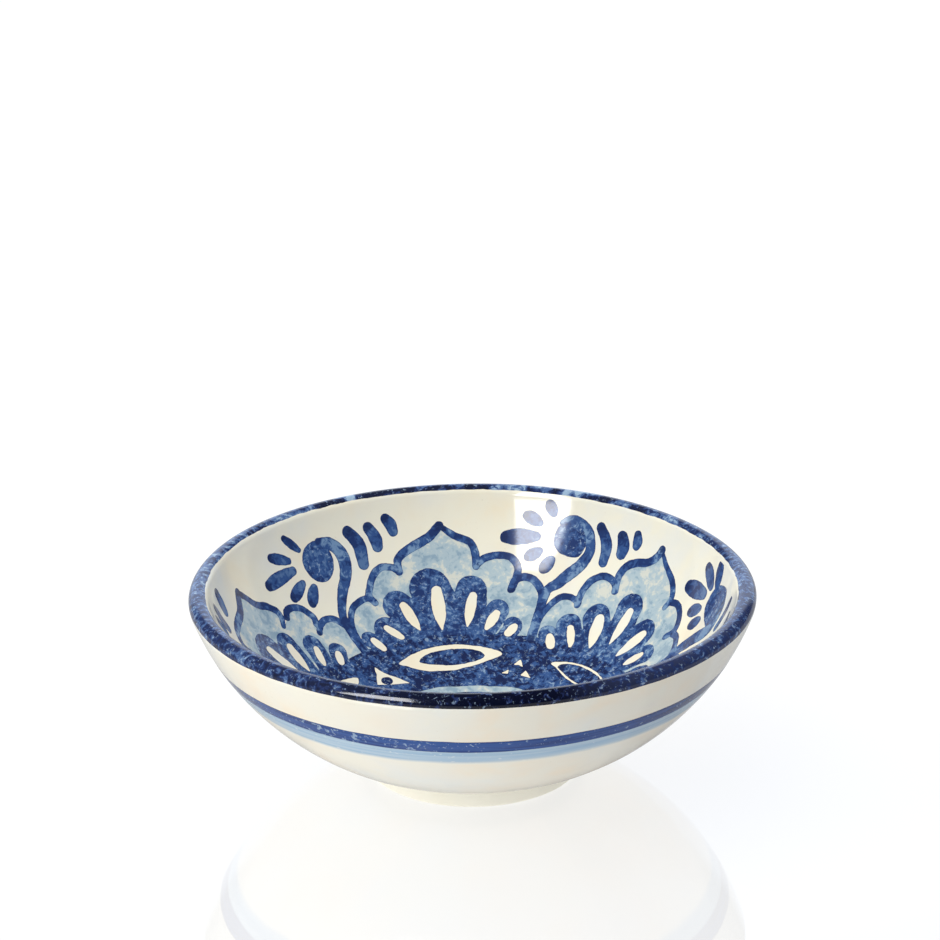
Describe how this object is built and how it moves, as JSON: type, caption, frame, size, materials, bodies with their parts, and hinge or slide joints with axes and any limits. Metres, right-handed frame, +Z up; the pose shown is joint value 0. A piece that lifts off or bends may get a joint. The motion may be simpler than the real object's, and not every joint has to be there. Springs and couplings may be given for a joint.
{
  "type": "footed ceramic bowl",
  "caption": "Footed ceramic serving bowl with a rounded lip, cream glaze and cobalt brush painting of flowers and scrolls inside and banded lines outside.",
  "frame": {"origin": "centre of the foot ring's bearing face, on the table", "axes": "+Z up along the bowl's axis; +Y points to the back, the side of the rim that is furthest from the usual viewer, and +X to that viewer's right"},
  "size_m": [0.25, 0.25, 0.088],
  "materials": {
    "clay": "unglazed earthenware",
    "foot_clay": "thin cream glaze over clay",
    "cream_glaze_inside": "gloss cream glaze, faintly clouded",
    "cream_glaze_outside": "gloss cream glaze, faintly clouded",
    "rim_cobalt": "gloss sponged cobalt with pale flecks",
    "line_cobalt": "gloss brushed cobalt line",
    "wash_blue_outside": "gloss thin cobalt wash",
    "centre_cobalt": "gloss mottled cobalt",
    "centre_blue": "gloss thin cobalt wash",
    "ground_cobalt": "gloss mottled cobalt",
    "eye_cobalt": "gloss mottled cobalt",
    "dot_cobalt": "gloss cobalt",
    "petal_cobalt": "gloss mottled cobalt",
    "outline_cobalt": "gloss brushed cobalt",
    "wash_blue_inside": "gloss thin cobalt wash",
    "stem_cobalt": "gloss brushed cobalt",
    "head_cobalt": "gloss mottled cobalt",
    "dab_cobalt": "gloss brushed cobalt",
    "leaf_cobalt": "gloss brushed cobalt"
  },
  "bodies": {
    "root": {"clay_body": "clay", "foot_ring": "foot_clay", "inner_glaze": "cream_glaze_inside", "outer_glaze": "cream_glaze_outside", "rim_band": "rim_cobalt", "outer_line": "line_cobalt", "outer_wash": "wash_blue_outside", "centre_disc": "centre_cobalt", "centre_wash": "centre_blue", "ground_ring": "ground_cobalt", "eye_spots": "eye_cobalt", "star_dots": "dot_cobalt", "petal_strokes": "petal_cobalt", "flower_outline": "outline_cobalt", "flower_wash": "wash_blue_inside", "scroll_stems": "stem_cobalt", "scroll_heads": "head_cobalt", "petal_dabs": "dab_cobalt", "leaf_strokes": "leaf_cobalt"}
  },
  "joints": []
}
